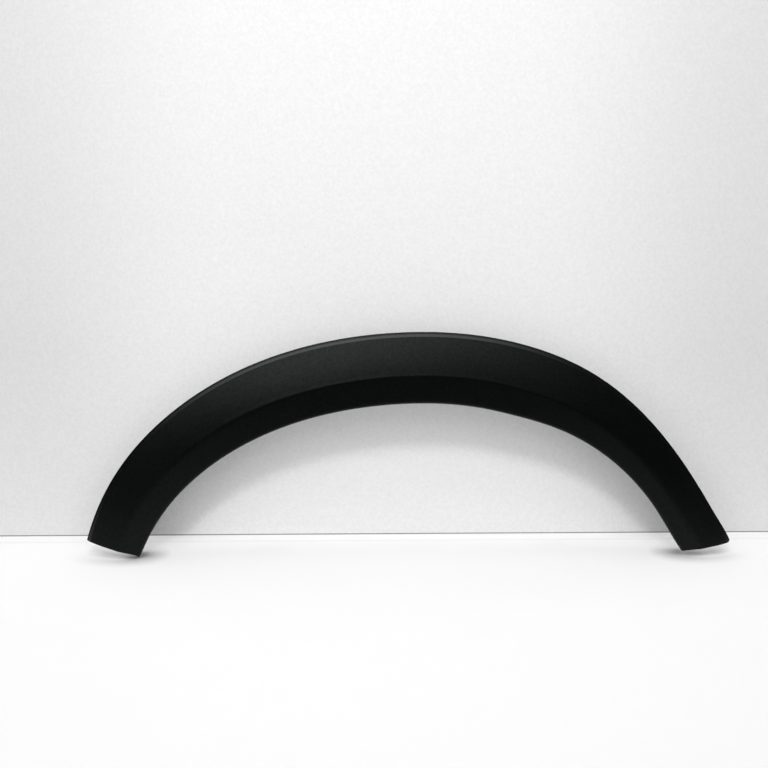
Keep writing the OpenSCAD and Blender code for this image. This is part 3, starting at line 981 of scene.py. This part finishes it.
clipMesh = placed("clipPlaces", clipBlank(), clipAngles, naturalNylon,
                  {"Width Share": clipTower["widthShare"]})
clips = joinedObject("pushInClips", [clipMesh], naturalNylon, 40)
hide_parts("retaining_clips")
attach(clips, "root")
print("clips placed:", len(clips.data.polygons), "faces")

# Floor and wall

studio = {
    "floorLevel": -0.2367, "wallPlace": 0.088, "reach": 4.0,
    # Painted light and shade on the wall: paler low down, darker up high and towards its sides
    "wallHigh": (0.715, 0.717, 0.715, 1), "wallLow": (0.825, 0.827, 0.823, 1), "wallTop": 0.15,
    "wallEdge": (0.634, 0.636, 0.634, 1), "wallMiddle": -0.04, "wallFade": (0.18, 0.46), "edgeLow": 0.25,
    # The joint colour is a painted shadow line along the wall's foot
    "jointColour": (0.30, 0.30, 0.29, 1), "jointHeight": 0.0014, "paperGrain": 0.0032, "grainShare": 0.14,
    # Painted light and shade on the floor: paler close to the object, darker towards the front
    "floorColour": (1.0, 1.0, 1.0, 1), "floorFront": (0.77, 0.77, 0.77, 1), "frontFrom": (0.05, 0.5),
    "bounceColour": (0.5, 0.5, 0.5, 1), "floorPale": 0.997, "paleShare": 0.3,
    "mirrorNear": 0.95, "mirrorFar": 0.04, "mirrorReach": 0.38,
    # Painted contact shade on the floor under what stands on it
    "contactReach": 0.034, "contactTone": 0.05, "contactOpen": (0.3, 0.97), "contactEnds": (0.045, 0.065),
}


# The wall is grained paper with painted light and shade: paler low down, darker up high and towards its sides.
# It has a painted shadow line at the floor joint, and can't be seen from behind
def makePaleWall():
    s = studio
    material, tree = newMaterial("paleWall")
    t = Tools(tree)
    place = t.node("ShaderNodeTexCoord")["Object"]
    across, height = t.split(place)["X"], t.split(place)["Z"]
    # Painted light and shade: the colour is paler low down and darker up high, and painted shade darkens it
    # towards both sides, less so near the floor
    tone = t.blend(t.span(height, s["floorLevel"], s["wallTop"]), s["wallLow"], s["wallHigh"])
    fade = t.span(t.calc("ABSOLUTE", across - s["wallMiddle"]), *s["wallFade"], kind="SMOOTHSTEP")
    edgeShadeRise = t.span(height, s["floorLevel"], 0.0, s["edgeLow"])
    tone = t.blend(fade * edgeShadeRise, tone, s["wallEdge"])
    # Painted shadow: a dark line along the wall's foot, where the floor meets it
    tone = t.blend(t.calc("LESS_THAN", height, s["floorLevel"] + s["jointHeight"]), tone, s["jointColour"])
    uneven = 1.0 + (t.noise(place, 1 / s["paperGrain"], 1.0) - 0.5) * s["grainShare"]
    shader = t.node("ShaderNodeBsdfDiffuse", {"Color": t.vector("SCALE", tone, uneven)})
    clear = t.node("ShaderNodeBsdfTransparent")
    back = t.node("ShaderNodeNewGeometry")["Backfacing"]
    surface = t.node("ShaderNodeMixShader", {0: back, 1: shader[0], 2: clear[0]})
    t.node("ShaderNodeOutputMaterial", {"Surface": surface[0]})
    return material


# The floor is paler to the camera and has painted light and shade, paler close to the object and darker
# towards the front. It throws little light back, and fades out of reflections with distance
def makePaleFloor():
    s = studio
    material, tree = newMaterial("paleFloor")
    t = Tools(tree)
    place = t.node("ShaderNodeTexCoord")["Object"]
    light = t.node("ShaderNodeLightPath")
    away = t.calc("ABSOLUTE", t.split(place)["Y"])
    # Painted light and shade: the floor's colour is paler close to the object and darker towards the front,
    # evening out the lamps
    tone = t.blend(t.span(away, *s["frontFrom"]), s["floorColour"], s["floorFront"])
    tone = t.blend(light["Is Diffuse Ray"], tone, s["bounceColour"])
    # Painted contact shade: what stands close over the floor darkens its colour and its glow, but not by the
    # wall
    near = t.node("ShaderNodeAmbientOcclusion", {"Distance": s["contactReach"]}, samples=8)["AO"]
    contactShade = t.span(near, *s["contactOpen"], s["contactTone"])
    contactShade = t.calc("MAXIMUM", contactShade, t.span(away, *s["contactEnds"]))
    shader = t.node("ShaderNodeBsdfDiffuse", {"Color": t.vector("SCALE", tone, contactShade)})
    mirrored = t.span(away, 0.0, s["mirrorReach"], s["mirrorNear"], s["mirrorFar"], kind="SMOOTHSTEP")
    gloss = t.calc("MAXIMUM", light["Is Glossy Ray"], light["Is Transmission Ray"])
    strength = t.between(gloss, contactShade * s["floorPale"], mirrored)
    glow = t.node("ShaderNodeEmission", {"Strength": strength})
    share = t.calc("MAXIMUM", gloss, light["Is Camera Ray"] * s["paleShare"])
    surface = t.node("ShaderNodeMixShader", {0: share, 1: shader[0], 2: glow[0]})
    t.node("ShaderNodeOutputMaterial", {"Surface": surface[0]})
    return material
def makeStudio():
    s = studio
    r, z, y = s["reach"], s["floorLevel"], s["wallPlace"]
    floor = meshObject("studioFloor", [(-r, -r, z), (r, -r, z), (r, r, z), (-r, r, z)], [[0, 1, 2, 3]])
    wall = meshObject("studioWall", [(-r, y, z), (r, y, z), (r, y, z + r), (-r, y, z + r)], [[0, 1, 2, 3]])
    floor.data.materials.append(makePaleFloor())
    wall.data.materials.append(makePaleWall())
    wall.visible_glossy = False


makeStudio()


# Reflections see a dark room with soft lights in front, at the side and behind, and the camera sees a pale
# ground. Each light fades in between a cosine and its direction.
room = {
    "pale": 0.92, "fill": 0.3, "dark": 0.01,
    "front": {"towards": (-0.2, -0.32, 0.925), "from": 0.69, "strength": 3.5},
    "side": {"towards": (-0.27, -0.757, 0.594), "from": 0.965, "strength": 2.7},
    "back": {"towards": (0.3, 0.72, 0.62), "from": 0.55, "strength": 1.0},
}


def makeWorld():
    s = room
    world = bpy.data.worlds.new("paleStudio")
    bpy.context.scene.world = world
    world.use_nodes = True
    tree = world.node_tree
    tree.nodes.clear()
    t = Tools(tree)
    ahead = t.node("ShaderNodeTexCoord")["Generated"]
    mirrored = s["dark"]
    for side in (s["front"], s["side"], s["back"]):
        towards = t.vector("DOT_PRODUCT", ahead, side["towards"])
        mirrored = mirrored + t.span(towards, side["from"], 1.0, 0.0, side["strength"])
    light = t.node("ShaderNodeLightPath")
    gloss = t.calc("MAXIMUM", light["Is Glossy Ray"], light["Is Transmission Ray"])
    unseen = t.between(gloss, s["fill"], mirrored)
    back = t.node("ShaderNodeBackground", {"Strength": t.between(light["Is Camera Ray"], unseen, s["pale"]),
                                           "Color": (1, 1, 1, 1)})
    t.node("ShaderNodeOutputWorld", {"Surface": back[0]})


makeWorld()

lamps = {
    "keyLamp": {"place": (-0.12, -1.35, 0.87), "aim": (0, 0, 0), "size": 0.2, "power": 7.5},
    "upperLamp": {"place": (-0.08, -0.92, 1.07), "aim": (0, 0, 0), "size": 0.2, "power": 1.8},
    "ceilingLamp": {"place": (0, -0.22, 1.6), "aim": (0, -0.15, 0), "size": 0.5, "power": 4.7},
    "frontLamp": {"place": (-0.1, -1.6, 0.2), "aim": (0, 0, 0), "size": 2.2, "power": 29},
    "backLamp": {"place": (0.5, 1.9, 1.0), "aim": (0, 0, -0.1), "size": 1.4, "power": 26},
}


def makeLamps():
    for name, s in lamps.items():
        data = bpy.data.lights.new(name, "AREA")
        data.shape = "SQUARE"
        data.size = s["size"]
        data.energy = s["power"]
        lamp = newObject(name, data)
        lamp.location = s["place"]
        lamp.rotation_euler = (Vector(s["aim"]) - Vector(s["place"])).to_track_quat("-Z", "Y").to_euler()
        lamp.visible_camera = False
        lamp.visible_glossy = False  # the room's soft lights make the reflections


makeLamps()

camera = {"eye": (-0.0326, -1.1655, 0.1329), "elevation": 8.0, "roll": -0.333, "view": 41.5}


def makeCamera():
    s = camera
    data = bpy.data.cameras.new("photoCamera")
    data.sensor_width = 36
    data.lens = 18 / math.tan(math.radians(s["view"] / 2))
    obj = newObject("photoCamera", data)
    tilt, roll = math.radians(s["elevation"]), math.radians(s["roll"])
    back = Vector((0, -math.cos(tilt), math.sin(tilt)))
    right, up = Vector((1, 0, 0)), Vector((0, math.sin(tilt), math.cos(tilt)))
    side = right * math.cos(roll) + up * math.sin(roll)
    over = up * math.cos(roll) - right * math.sin(roll)
    turned = Matrix((side, over, back)).transposed().to_4x4()
    obj.matrix_world = Matrix.Translation(s["eye"]) @ turned
    bpy.context.scene.camera = obj


makeCamera()
bpy.context.scene.view_settings.view_transform = "Standard"
